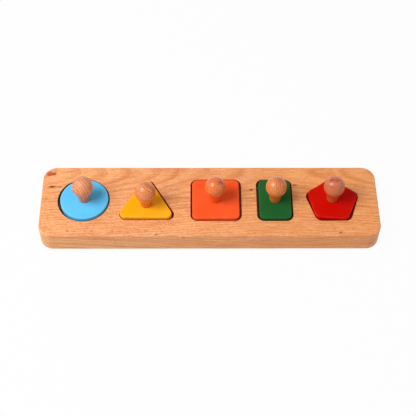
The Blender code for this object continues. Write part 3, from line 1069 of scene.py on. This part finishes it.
@dataclass
class Screw:
    """A countersunk wood screw, point up, with a rolled thread and a cross recess.

    ridge is half the width of the thread's ridge, as a share of the pitch.
    """

    diameter: float = 0.004
    core: float = 0.0028
    pitch: float = 0.0018
    ridge: float = 0.28
    length: float = 0.030
    point: float = 0.004
    head_diameter: float = 0.008
    head_rim: float = 0.0005
    recess_length: float = 0.0044
    recess_width: float = 0.0011
    recess_depth: float = 0.0016
    recess_draft: float = 0.00025
    columns: int = 72

    def head_face(self, around: Array) -> Array:
        """The head's flat face with its recess, from its middle out to its rim.

        Each arm of the cross is deep where both |x| < width / 2 and |y| < length / 2, with walls
        that lean by the draft, and the cross is the deeper of its two arms.

        Args:
            around: Unit directions of the columns.

        Returns:
            A grid of points with the face at height 0.
        """
        radii = eased(44)[:, None, None] * self.head_diameter / 2
        plan = radii * around[None]
        x, y = np.abs(plan[..., 0]), np.abs(plan[..., 1])
        across, along, lean = self.recess_width / 2, self.recess_length / 2, self.recess_draft

        def arm(thin: Array, long: Array) -> Array:
            """How deep one arm is, from 0 to 1."""
            sides = np.clip((across - thin) / lean + 0.5, 0, 1)
            ends = np.clip((along - long) / lean / 2 + 0.5, 0, 1)
            return sides * ends

        return lifted(plan, self.recess_depth * np.maximum(arm(x, y), arm(y, x)))

    def shank(self, around: Array) -> Array:
        """The shank with its thread, from under the head to the point.

        The radius at height z and angle a is the core's plus a ridge that stands at the fraction of
        z / pitch - a / turn nearest to a half, and both shrink evenly to nothing at the point.

        Args:
            around: Unit directions of the columns.

        Returns:
            A grid of points.
        """
        start = self.head_rim + (self.head_diameter - self.diameter) / 2
        height = (start + (self.length - start) * eased(200))[:, None]
        angle = (np.arctan2(around[:, 1], around[:, 0]) / math.tau)[None]
        phase = (height / self.pitch - angle) % 1.0
        ridge = np.clip(1 - np.abs(phase - 0.5) / self.ridge, 0, 1)
        reach = np.clip((self.length - height) / self.point, 0, 1)
        threaded = np.clip((height - start - 2 * self.pitch) / self.pitch, 0, 1)
        smooth, core = self.diameter / 2, self.core / 2
        radius = smooth + ((core + (smooth - core) * ridge) - smooth) * threaded
        plan = (radius * reach)[..., None] * around[None]
        return lifted(plan, height)

    def build(self, name: str, place: Array) -> Object:
        """Makes the screw with the middle of its head's face at a place."""
        around = unit(whole_turn(self.columns))
        head = self.head_diameter / 2
        under = self.head_rim + head - self.diameter / 2
        cone = np.array([(head, 0.0), (head, self.head_rim), (self.diameter / 2, under)])
        skin = Skin()
        for grid in (self.head_face(around), revolved(cone, around), self.shank(around)):
            skin.add(grid + place)
        return skin.sewn(name)


@dataclass
class Tile:
    """A painted shape with rounded edges, a faint crown and the screw's hole through its middle."""

    outline: Outline
    thickness: float = 0.012
    edge_radius: float = 0.0009
    crown: float = 0.00009
    crown_falloff: float = 0.0015
    crown_insets: tuple[float, ...] = (0.0, EDGE_FLAT, 0.001, 0.002, 0.0035)
    face_steps: int = 10
    hole_radius: float = 0.0023
    sink_radius: float = 0.0043
    sink_rim: float = 0.0009
    columns: int = 360

    def build(self, name: str, place: Array, turn: float) -> Object:
        """Carries the tile's profile along its outline.

        From the countersink the profile runs out over the underside, round the lower edge, up the
        side, round the upper edge, in over the top and down the hole, back to where it began. The
        top's height falls by crown * exp(-inset / falloff) towards the edge.

        Args:
            name: The object's name.
            place: The middle of the underside.
            turn: The tile's turn about the upright.

        Returns:
            The tile.
        """
        angles = whole_turn(self.columns)
        path = self.outline.towards(angles)
        circle = unit(angles)
        edge, tall = self.edge_radius, self.thickness
        bend = quarter(6)[:, None]
        top = tall - self.crown
        inner = eased(self.face_steps)[:, None, None]

        under_ring = path.ring(edge + EDGE_FLAT)
        underside = self.sink_radius * circle + (under_ring - self.sink_radius * circle) * inner
        low = path.carry(edge - edge * np.sin(bend), edge - edge * np.cos(bend))
        side = path.carry(np.zeros((3, 1)), np.linspace(edge, top - edge, 3)[:, None])
        high = path.carry(edge - edge * np.cos(bend), top - edge + edge * np.sin(bend))
        insets = edge + np.array(self.crown_insets)[:, None]
        rise = self.crown * (1 - np.exp(-(insets - edge) / self.crown_falloff))
        shoulder = path.carry(insets, top + rise)
        top_ring = path.ring(insets[-1, 0])
        face_plan = top_ring + (self.hole_radius * circle - top_ring) * inner
        face_height = np.linspace(float(top + rise[-1, 0]), tall, self.face_steps + 1)
        face = lifted(face_plan, face_height[:, None])
        sink = self.sink_rim + self.sink_radius - self.hole_radius
        bore = np.array([
            (self.hole_radius, tall), (self.hole_radius, sink), (self.sink_radius, self.sink_rim),
            (self.sink_radius, 0.0),
        ])
        hole = revolved(bore, circle)

        cosine, sine = math.cos(turn), math.sin(turn)
        rotate = np.array([[cosine, sine, 0], [-sine, cosine, 0], [0, 0, 1]])
        skin = Skin()
        round_mark = np.concatenate([[0.4], np.ones(5), [0.4]])
        for grid, mark in (
            (lifted(underside, 0.0), 0.0),
            (lifted(np.stack([under_ring, path.ring(edge)]), 0.0), np.array([0.0, 0.4])),
            (low, round_mark),
            (side, np.array([0.4, 0.0, 0.4])),
            (high, round_mark),
            (shoulder, np.array([0.4, 0.1, 0.0, 0.0, 0.0])),
            (face, 0.0),
            (hole, 0.0),
        ):
            skin.add(grid @ rotate + place, edge=mark)
        return skin.sewn(name)


@dataclass
class Pocket:
    """A flat-bottomed pocket in the plank, about its axis."""

    axis: Array
    outline: Outline


@dataclass
class Plank:
    """The beech board: rounded in plan, with hand-sanded edges and a milled pocket for each shape."""

    length: float
    depth: float
    thickness: float
    pocket_floor: float
    pockets: list[Pocket]
    corner_radius: float = 0.0145
    edge_radius: float = 0.0012
    edge_play: float = 0.0002
    edge_waves: tuple[tuple[int, float, float], ...] = ((7, 1.0, 0.6), (17, 0.6, 2.1), (31, 0.4, 4.0))
    corner_wear: float = 0.0003
    margin: float = 0.0030
    rim_round: float = 0.00045
    floor_round: float = 0.0006
    # The pocket floor's share of the painted pocket shade and roughness.
    floor_shade_share: float = 0.4
    spacing: float = 0.0007

    def steps(self, length: float) -> Array:
        """Even shares from 0 up to, but not including, 1, about a spacing apart over a length."""
        count = max(2, math.ceil(abs(length) / self.spacing))
        return np.arange(count) / count

    def straight(self, start: Pair, end: Pair, facing: Pair) -> tuple[Array, Array]:
        """Centres from start towards end, all facing one way."""
        way = np.subtract(end, start)
        centres = np.array(start) + way * self.steps(float(np.linalg.norm(way)))[:, None]
        return centres, np.broadcast_to(np.array(facing, float), centres.shape)

    def corner(self, centre: Pair, begin: float) -> tuple[Array, Array]:
        """One centre that faces round a quarter turn, from an angle on."""
        turn = self.steps(self.corner_radius * math.pi / 2) * math.pi / 2
        facing = unit(begin + turn)
        return np.broadcast_to(centre, facing.shape), facing

    def joined(self, parts: list[tuple[Array, Array]]) -> Path:
        """Parts of the plank's outline put end to end."""
        centres = np.concatenate([part[0] for part in parts])
        facing = np.concatenate([part[1] for part in parts])
        return Path(centres, facing, self.corner_radius)

    def divisions(self) -> Array:
        """Where the plank is divided in X: at its arc centres and half way between pockets."""
        right = [pocket.axis[0] + pocket.outline.reach((1, 0)) for pocket in self.pockets]
        left = [pocket.axis[0] - pocket.outline.reach((-1, 0)) for pocket in self.pockets]
        middle = (np.array(right[:-1]) + np.array(left[1:])) / 2
        end = self.length / 2 - self.corner_radius
        return np.concatenate([[-end], middle, [end]])

    def bands(self, inset: float) -> tuple[Path, list[Array]]:
        """The plank's whole outline, and the border of each pocket's share of the top.

        Args:
            inset: How far inside the outline the flat top ends.

        Returns:
            The outline's path, and one closed line of plan points for each pocket.
        """
        x = self.divisions()
        low = -self.depth / 2 + self.corner_radius
        high = -low
        fronts = [self.straight((begin, low), (end, low), (0, -1)) for begin, end in zip(x, x[1:])]
        backs = [self.straight((end, high), (begin, high), (0, 1)) for begin, end in zip(x, x[1:])]
        right = [
            self.corner((x[-1], low), -math.pi / 2),
            self.straight((x[-1], low), (x[-1], high), (1, 0)),
            self.corner((x[-1], high), 0.0),
        ]
        left = [
            self.corner((x[0], high), math.pi / 2),
            self.straight((x[0], high), (x[0], low), (-1, 0)),
            self.corner((x[0], low), math.pi),
        ]
        whole = self.joined(fronts + right + backs[::-1] + left)
        edge = self.depth / 2 - inset
        rise = (2 * self.steps(2 * edge) - 1) * edge
        ups = [np.stack([np.full_like(rise, middle), rise], 1) for middle in x[1:-1]]
        downs = [np.stack([np.full_like(rise, middle), -rise], 1) for middle in x[1:-1]]
        ups.append(self.joined(right).ring(inset))
        downs.insert(0, self.joined(left).ring(inset))
        borders = [
            np.concatenate([self.joined([front]).ring(inset), up, self.joined([back]).ring(inset), down])
            for front, up, back, down in zip(fronts, ups, backs, downs)
        ]
        return whole, borders

    def sanded(self, path: Path) -> Array:
        """The edge's radius along the outline, uneven as sanding by hand leaves it.

        It is the usual radius plus waves, each with its count to the whole outline, its strength
        and its start, and more round the corners, by |sin 2a| where the outline faces the angle a.

        Args:
            path: The plank's outline.

        Returns:
            One radius for each point.
        """
        share = whole_turn(len(path.centres))
        wave = sum(strength * np.sin(count * share + start) for count, strength, start in self.edge_waves)
        diagonal = 2 * np.abs(path.facing[:, 0] * path.facing[:, 1])
        return self.edge_radius + self.edge_play * wave / 2 + self.corner_wear * diagonal

    def rim(self, skin: Skin, path: Path) -> None:
        """Adds the plank's outside, from the flat top down to the middle of the underside.

        The upper edge's inset is e - e sin(t) and its height is top - e + e cos(t) over a quarter
        turn t, for the sanded radius e, and the lower edge is the same upside down.

        Args:
            skin: The surface to add to.
            path: The plank's outline.
        """
        radius = self.sanded(path)[None]
        turn = quarter(7)[:, None]
        top = self.thickness
        flat = np.full_like(radius, self.margin)
        side = (top - radius) + (2 * radius - top) * eased(4)[:, None]
        marks = [0.5, 1, 1, 1, 1, 1, 1, 0.5]
        for inset, height, edge in (
            (np.concatenate([flat, radius]), np.full((2, 1), top), [0, 0.5]),
            (radius - radius * np.sin(turn), top - radius + radius * np.cos(turn), marks),
            (np.zeros((5, 1)), side, [0.5, 0, 0, 0, 0.5]),
            (radius - radius * np.cos(turn), radius - radius * np.sin(turn), marks),
            (np.concatenate([radius, flat]), np.zeros((2, 1)), [0.5, 0]),
        ):
            skin.add(path.carry(inset, height), edge=np.array(edge))
        inner = path.ring(self.margin)[None] * np.array([1.0, 0.75, 0.5, 0.25, 0.0])[:, None, None]
        skin.add(lifted(inner, 0.0))

    def share(self, skin: Skin, pocket: Pocket, border: Array) -> None:
        """Adds one pocket with its share of the top.

        Rays from the pocket's axis to the border's points cross the pocket's outline, so the top is
        the straight run between the two, and the pocket's profile is carried along the crossings.
        The pocket's wall is darkened by painted shade, and its floor a little.

        Args:
            skin: The surface to add to.
            pocket: The pocket.
            border: The closed line round its share of the top.
        """
        spokes = border - pocket.axis
        path = pocket.outline.towards(np.arctan2(spokes[:, 1], spokes[:, 0])).moved(pocket.axis)
        top, floor = self.thickness, self.pocket_floor
        lip, foot = self.rim_round, self.floor_round
        near = path.ring(-lip - EDGE_FLAT)
        shares = np.array([0.0, 0.3, 0.6, 0.85, 1.0])[:, None, None]
        skin.add(lifted(border + (near - border) * shares, top))
        skin.add(lifted(np.stack([near, path.ring(-lip)]), top), edge=np.array([0, 0.4]))
        turn = quarter(5)[:, None]
        fade = eased(5)
        skin.add(
            path.carry(-lip + lip * np.sin(turn), top - lip + lip * np.cos(turn)),
            edge=np.array([0.4, 0.8, 0.8, 0.6, 0.3, 0.0]), cut=fade**1.5,
        )
        wall = np.linspace(top - lip, floor + foot, 4)[:, None]
        skin.add(path.carry(np.zeros((4, 1)), wall), cut=1.0)
        # Painted shade on the pocket's foot, fading to the floor's share.
        foot_shade = 1 - (1 - self.floor_shade_share) * fade
        skin.add(path.carry(foot - foot * np.cos(turn), floor + foot - foot * np.sin(turn)), cut=foot_shade)
        inner = path.ring(foot) - pocket.axis
        rows = inner[None] * (1 - eased(6)[:, None, None]) + pocket.axis
        skin.add(lifted(rows, floor), cut=self.floor_shade_share)

    def build(self, name: str) -> Object:
        """Makes the plank.

        Args:
            name: The object's name.

        Returns:
            The plank.
        """
        path, borders = self.bands(self.margin)
        skin = Skin()
        self.rim(skin, path)
        for pocket, border in zip(self.pockets, borders):
            self.share(skin, pocket, border)
        return skin.sewn(name)


@dataclass
class Shape:
    """One shape of the puzzle: its plan, how it lies in its pocket, its paint and its knob's wood.

    lean and turn say how the loose tile lies, as shares of the room that it has.
    """

    name: str
    outline: Outline
    play: float
    lean: Pair
    turn: float
    paint: PaintFinish
    wood: KnobWood

    @property
    def body(self) -> str:
        """The body of the frame that the shape rides on."""
        return self.name + "_piece"

    @property
    def axis(self) -> Array:
        """The plan place of the knob's axis, in the middle of the frame's knob."""
        low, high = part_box(self.name + "_knob")
        return np.array([(low.x + high.x) / 2, (low.y + high.y) / 2])

    @property
    def pocket(self) -> Pocket:
        """The pocket that the shape lies in: its axis is the knob's, less the lean."""
        return Pocket(self.axis - np.array(self.lean) * self.play, self.outline.widened(self.play))

    @property
    def rest_turn(self) -> float:
        """The tile's turn: all the room is used once a side's end meets the pocket's wall."""
        if len(self.outline.centres) < 2:
            return 0.0
        half = float(np.linalg.norm(self.outline.centres[1] - self.outline.centres[0])) / 2
        return self.turn * math.atan(self.play / half)

    def seat(self, part: str) -> Array:
        """Where a part stands: on the knob's axis, as low as the frame's part."""
        return np.array([*self.axis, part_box(f"{self.name}_{part}")[0].z])

    def build(self, patterns: Patterns, zinc: Material) -> None:
        """Makes the shape's tile, knob and screw, and lets them ride on its body.

        Args:
            patterns: The shared node groups.
            zinc: The screw's finish.
        """
        foot = self.seat("knob")
        ball = (*self.axis, foot[2] + Knob.ball_height)
        lacquer = KnobFinish(ball, self.wood).material(self.name + "_knob_beech", patterns)
        tile = Tile(self.outline).build(self.name + "_painted_tile", self.seat("tile"), self.rest_turn)
        knob = Knob().build(self.name + "_turned_knob", foot)
        screw = Screw().build(self.name + "_wood_screw", self.seat("screw"))
        for piece, part, slot, finish in (
            (tile, "tile", self.paint.slot, self.paint.material(self.paint.slot.value, patterns)),
            (knob, "knob", Slot.KNOB_BEECH, lacquer),
            (screw, "screw", Slot.ZINC_PLATE, zinc),
        ):
            settle(piece, self.body, f"{self.name}_{part}", finish)


def settle(
    piece: Object, body: str, node: str, finish: Material
) -> None:
    """Dresses a piece, stands it for its node of the frame and lets it ride on its body.

    Args:
        piece: The new piece.
        body: The body that it rides on.
        node: The node that it stands for.
        finish: Its material.
    """
    piece.data.materials.append(finish)
    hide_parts(node)
    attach(piece, body)
    log.info("%s: %d faces, rides on %s", piece.name, len(piece.data.polygons), body)


@dataclass
class Puzzle:
    """The whole toy: the plank and its five shapes, from left to right."""

    circle_radius: float = 0.0255
    triangle_side: float = 0.0626
    square_side: float = 0.050
    rectangle_width: float = 0.034
    rectangle_depth: float = 0.050
    pentagon_side: float = 0.0338
    corner_radius: float = 0.0055
    pentagon_corner_radius: float = 0.0065
    wide_play: float = 0.0021
    close_play: float = 0.0015
    seat_gap: float = 0.0003

    def shapes(self) -> list[Shape]:
        """The five shapes with their plans, paints and the wood of their knobs."""
        corner = self.corner_radius
        # Each paint's third tone is paler on nicked edges, as wear and painted sheen.
        return [
            Shape(
                "circle", Outline(np.zeros((1, 2)), self.circle_radius),
                self.wide_play, (0.45, -0.22), 0.0,
                PaintFinish(Slot.BLUE_PAINT, shade(93, 190, 239), shade(98, 196, 246), shade(150, 205, 225)),
                KnobWood(
                    (-0.10, -0.12, 1.0), (0.70, 0.70, 0.16), 40.0, 2.6, 1.0, 0.5,
                    shade(238, 159, 114), 0.44,
                    (
                        WoodMark((-8.8, 1.0, 6.5), (3.6, 4.0, 3.4), 0.0, 0.9, shade(196, 84, 50), 1.2),
                        WoodMark((-2.4, 1.0, 10.7), (6.0, 2.2, 3.4), -0.5, 0.4, shade(190, 88, 60), 1.3),
                    ),
                ),
            ),
            Shape(
                "triangle",
                rounded(regular_corners(3, self.triangle_side), corner, (0.0001, -0.0009)),
                self.close_play, (-0.62, 0.0), -0.10,
                PaintFinish(Slot.YELLOW_PAINT, shade(252, 168, 10), shade(254, 174, 32), shade(255, 190, 80)),
                KnobWood(
                    (0.79, -0.50, -0.35), (0.61, 0.65, 0.45), 24.0, 1.9, 0.75, 0.6,
                    shade(240, 146, 82), 0.22,
                    (
                        WoodMark((1.5, 1.6, 10.6), (7.0, 2.4, 4.0), -0.65, 0.4, shade(158, 80, 48), 1.2),
                        WoodMark((6.6, -1.4, 8.0), (6.0, 2.4, 5.0), -0.35, 0.45, shade(158, 80, 48), 1.2),
                    ),
                ),
            ),
            Shape(
                "square",
                rounded(oblong_corners(self.square_side, self.square_side), corner, (-0.0007, -0.0004)),
                self.wide_play, (-0.17, -0.24), 0.03,
                PaintFinish(Slot.ORANGE_PAINT, shade(254, 88, 36), shade(255, 95, 48), shade(255, 125, 85)),
                KnobWood(
                    (0.75, 0.20, 0.6), (0.30, -0.60, 0.75), 18.0, 3.4, 0.2, 0.3,
                    shade(238, 122, 56), 0.20,
                    (WoodMark((5.0, -1.4, 9.6), (5.4, 3.6, 4.4), 0.2, 0.8, shade(158, 58, 22), 1.3),),
                ),
            ),
            Shape(
                "rectangle",
                rounded(oblong_corners(self.rectangle_width, self.rectangle_depth), corner),
                self.wide_play, (0.12, -0.28), 0.0,
                PaintFinish(Slot.GREEN_PAINT, shade(30, 93, 42), shade(33, 97, 42), shade(70, 125, 80)),
                KnobWood(
                    (0.0, 0.82, 0.57), (1.0, 0.0, 0.1), 20.0, 2.0, 1.0, 0.6,
                    shade(240, 146, 78), 0.25,
                    (WoodMark((3.6, 0.8, 10.4), (7.0, 4.4, 4.6), 0.0, 0.45, shade(176, 76, 38), 1.3),),
                ),
            ),
            Shape(
                "pentagon",
                rounded(
                    regular_corners(5, self.pentagon_side), self.pentagon_corner_radius,
                    (-0.0004, 0.0015),
                ),
                self.close_play, (-0.10, 0.10), -0.66,
                PaintFinish(Slot.RED_PAINT, shade(204, 11, 1), shade(209, 13, 1), shade(220, 60, 40)),
                KnobWood(
                    (0.90, -0.30, 0.15), (0.10, 0.31, 0.95), 14.0, 3.4, 0.35, 0.4,
                    shade(216, 118, 74), 0.34,
                    (
                        WoodMark((-3.3, 0.5, 10.5), (5.0, 2.2, 3.6), 0.15, 0.8, shade(140, 58, 38), 0.9),
                        WoodMark((1.5, -0.6, 10.9), (3.8, 1.8, 3.0), -0.1, 0.8, shade(140, 58, 38), 0.8),
                        WoodMark((-3.9, -6.0, 8.4), (3.6, 2.4, 2.4), 0.0, 0.6, shade(150, 66, 44), 0.9),
                    ),
                ),
            ),
        ]

    def build(self) -> None:
        """Makes every piece in order."""
        patterns = Patterns()
        shapes = self.shapes()
        low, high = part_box("board")
        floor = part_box("circle_tile")[0].z - self.seat_gap
        plank = Plank(
            high.x - low.x, high.y - low.y, high.z - low.z, floor, [shape.pocket for shape in shapes]
        ).build("beech_plank")
        settle(plank, "board", "board", BeechFinish().material(Slot.BEECH.value, patterns))
        zinc = ZincFinish().material(Slot.ZINC_PLATE.value, patterns)
        for shape in shapes:
            shape.build(patterns, zinc)


@dataclass(frozen=True)
class Softbox:
    """A square lamp that shines on the middle of the toy."""

    name: str
    place: Place
    size: float
    watts: float

    def build(self) -> None:
        """Hangs the lamp and turns it to the toy."""
        lamp = bpy.data.lights.new(self.name, "AREA")
        lamp.shape = "SQUARE"
        lamp.size = self.size
        lamp.energy = self.watts
        made = linked(self.name, lamp)
        made.location = self.place
        made.rotation_euler = (-Vector(self.place)).to_track_quat("-Z", "Y").to_euler()


@dataclass
class Studio:
    """A white table, soft lamps and the camera."""

    target: Place = (-0.00168, -0.000539, 0.0125)
    elevation: float = math.radians(54.905)
    heading: float = math.radians(-1.235)
    roll: float = math.radians(0.964)
    distance: float = 1.06336
    lens: float = 85.35
    sensor: float = 36.0
    nearest: float = 0.01
    furthest: float = 50.0
    air: float = 0.45
    table_width: float = 8.0
    table_lines: int = 9
    table_drop: float = 0.0002
    table_grey: float = 0.70
    white_share: float = 0.96
    lamps: tuple[Softbox, ...] = (
        Softbox("key", (-0.69, -0.24, 0.95), 0.66, 11.7),
        Softbox("fill", (0.72, -0.06, 0.40), 0.30, 0.25),
    )

    def camera(self) -> None:
        """Stands the camera at its angle.

        The line back from the target has the heading and the elevation, and the picture's own right
        and up are turned by the roll about it.
        """
        flat, rise = math.cos(self.elevation), math.sin(self.elevation)
        back = Vector((math.sin(self.heading) * flat, -math.cos(self.heading) * flat, rise))
        level = (-back).cross(Vector((0, 0, 1))).normalized()
        upright = level.cross(-back)
        right = math.cos(self.roll) * level + math.sin(self.roll) * upright
        up = math.cos(self.roll) * upright - math.sin(self.roll) * level
        data = bpy.data.cameras.new("camera")
        data.lens = self.lens
        data.sensor_width = self.sensor
        data.clip_start = self.nearest
        data.clip_end = self.furthest
        made = linked("camera", data)
        turn = Matrix((right, up, back)).transposed().to_4x4()
        made.matrix_world = Matrix.Translation(Vector(self.target) + back * self.distance) @ turn
        bpy.context.scene.camera = made

    def white_rays(self, sheet: Sheet) -> Feed:
        """1 for the rays that should see a white background: the camera's, mirrors' and glass's."""
        rays = sheet.node("ShaderNodeLightPath").outputs
        seen = sheet.math("MAXIMUM", rays["Is Camera Ray"], rays["Is Glossy Ray"])
        return sheet.math("MAXIMUM", seen, rays["Is Transmission Ray"])

    def world(self) -> None:
        """Even light from all round, and plain white where it is looked at."""
        world = bpy.data.worlds.new("air")
        bpy.context.scene.world = world
        sheet = Sheet.on(world)
        strength = sheet.span(self.white_rays(sheet), self.air, 1.0)
        light = sheet.node("ShaderNodeBackground", WHITE, strength)
        sheet.node("ShaderNodeOutputWorld", light.outputs[0])

    def table(self) -> None:
        """A wide white table that keeps a faint shadow, and that isn't seen from below."""
        half = self.table_width / 2
        line = np.linspace(-half, half, self.table_lines)
        x, y = np.meshgrid(line, line)
        points = np.stack([x, y, np.full_like(x, -self.table_drop)], -1).reshape(-1, 3)
        number = np.arange(x.size).reshape(x.shape)
        quads = np.stack([number[:-1, :-1], number[:-1, 1:], number[1:, 1:], number[1:, :-1]], -1)
        mesh = bpy.data.meshes.new("table")
        mesh.from_pydata(points.tolist(), [], quads.reshape(-1, 4).tolist())
        made = linked("table", mesh)
        material = bpy.data.materials.new("white_table")
        sheet = Sheet.on(material)
        grey = self.table_grey
        matt = sheet.node("ShaderNodeBsdfDiffuse", (grey, grey, grey, 1.0))
        white = sheet.node("ShaderNodeEmission", WHITE, 1.0)
        share = sheet.times(self.white_rays(sheet), self.white_share)
        seen = sheet.node("ShaderNodeMixShader", share, matt.outputs[0], white.outputs[0])
        clear = sheet.node("ShaderNodeBsdfTransparent")
        below = sheet.node("ShaderNodeNewGeometry").outputs["Backfacing"]
        sides = sheet.node("ShaderNodeMixShader", below, seen.outputs[0], clear.outputs[0])
        sheet.node("ShaderNodeOutputMaterial", sides.outputs[0])
        mesh.materials.append(material)

    def build(self) -> None:
        """Sets up the whole studio."""
        bpy.context.scene.view_settings.view_transform = "Standard"
        self.camera()
        self.world()
        self.table()
        for lamp in self.lamps:
            lamp.build()
            log.info("lamp %s at %s", lamp.name, lamp.place)


def main() -> None:
    """Builds the studio and the puzzle round the frame."""
    logging.basicConfig(level=logging.INFO, format="%(name)s: %(message)s")
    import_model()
    Studio().build()
    Puzzle().build()


if __name__ == "__main__":
    main()
